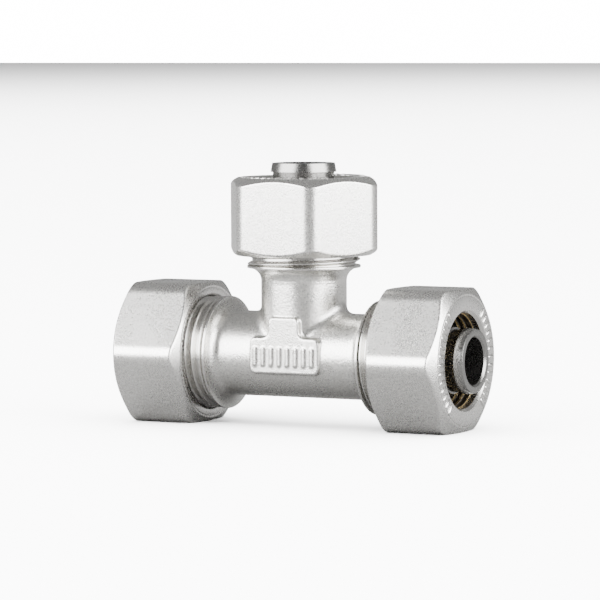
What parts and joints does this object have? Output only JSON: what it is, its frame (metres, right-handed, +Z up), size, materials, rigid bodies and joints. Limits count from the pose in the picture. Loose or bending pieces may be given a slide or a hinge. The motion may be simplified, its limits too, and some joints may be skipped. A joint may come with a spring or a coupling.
{
  "type": "compression fitting",
  "caption": "Equal tee compression fitting for 16 mm multilayer pipe: nickel-plated body with threaded ports, hexagonal union nuts, split rings, O-rings and insulating washers.",
  "frame": {"origin": "in the plane of the side nuts' lower flats, under the crossing of the three port axes", "axes": "+X along the run, towards the right port; +Z up along the branch; -Y towards the front, where the marking pad is"},
  "size_m": [0.0668, 0.0288, 0.0466],
  "materials": {
    "blasted_nickel": "nickel plate on brass, shot-blasted matt on the forged skin and bright on the turned ends",
    "satin_nickel": "nickel plate on brass, satin with fine grain",
    "ring_brass": "turned brass, bare",
    "seal_rubber": "black EPDM, smooth moulded",
    "washer_plastic": "off-white PTFE, matt"
  },
  "bodies": {
    "tee": {"tee_body": "blasted_nickel", "o_ring_outer_left": "seal_rubber", "o_ring_outer_right": "seal_rubber", "o_ring_outer_top": "seal_rubber", "o_ring_inner_left": "seal_rubber", "o_ring_inner_right": "seal_rubber", "o_ring_inner_top": "seal_rubber", "insulating_washer_left": "washer_plastic", "insulating_washer_right": "washer_plastic", "insulating_washer_top": "washer_plastic"},
    "ring_left": {"split_ring_left": "ring_brass"},
    "nut_left": {"compression_nut_left": "satin_nickel"},
    "ring_right": {"split_ring_right": "ring_brass"},
    "nut_right": {"compression_nut_right": "satin_nickel"},
    "ring_top": {"split_ring_top": "ring_brass"},
    "nut_top": {"compression_nut_top": "satin_nickel"}
  },
  "joints": [
    {"name": "ring_left_travel", "type": "slide", "parent": "tee", "child": "ring_left", "axis": [-1, 0, 0], "range_m": [-0.00225, 0.00375]},
    {"name": "nut_left_turn", "type": "hinge", "parent": "ring_left", "child": "nut_left", "pos_m": [-0.0253, 0, 0.0125], "axis": [-1, 0, 0], "range_deg": [-540, 900]},
    {"name": "ring_right_travel", "type": "slide", "parent": "tee", "child": "ring_right", "axis": [1, 0, 0], "range_m": [-0.0015, 0.0045]},
    {"name": "nut_right_turn", "type": "hinge", "parent": "ring_right", "child": "nut_right", "pos_m": [0.0253, 0, 0.0125], "axis": [1, 0, 0], "range_deg": [-360, 1080]},
    {"name": "ring_top_travel", "type": "slide", "parent": "tee", "child": "ring_top", "axis": [0, 0, 1], "range_m": [-0.00075, 0.00525]},
    {"name": "nut_top_turn", "type": "hinge", "parent": "ring_top", "child": "nut_top", "pos_m": [0, 0, 0.0385], "axis": [0, 0, 1], "range_deg": [-180, 1260]}
  ],
  "couplings": [
    {"joint": "ring_left_travel", "follows": "nut_left_turn", "m_per_rad": 0.00023873},
    {"joint": "ring_right_travel", "follows": "nut_right_turn", "m_per_rad": 0.00023873},
    {"joint": "ring_top_travel", "follows": "nut_top_turn", "m_per_rad": 0.00023873}
  ]
}
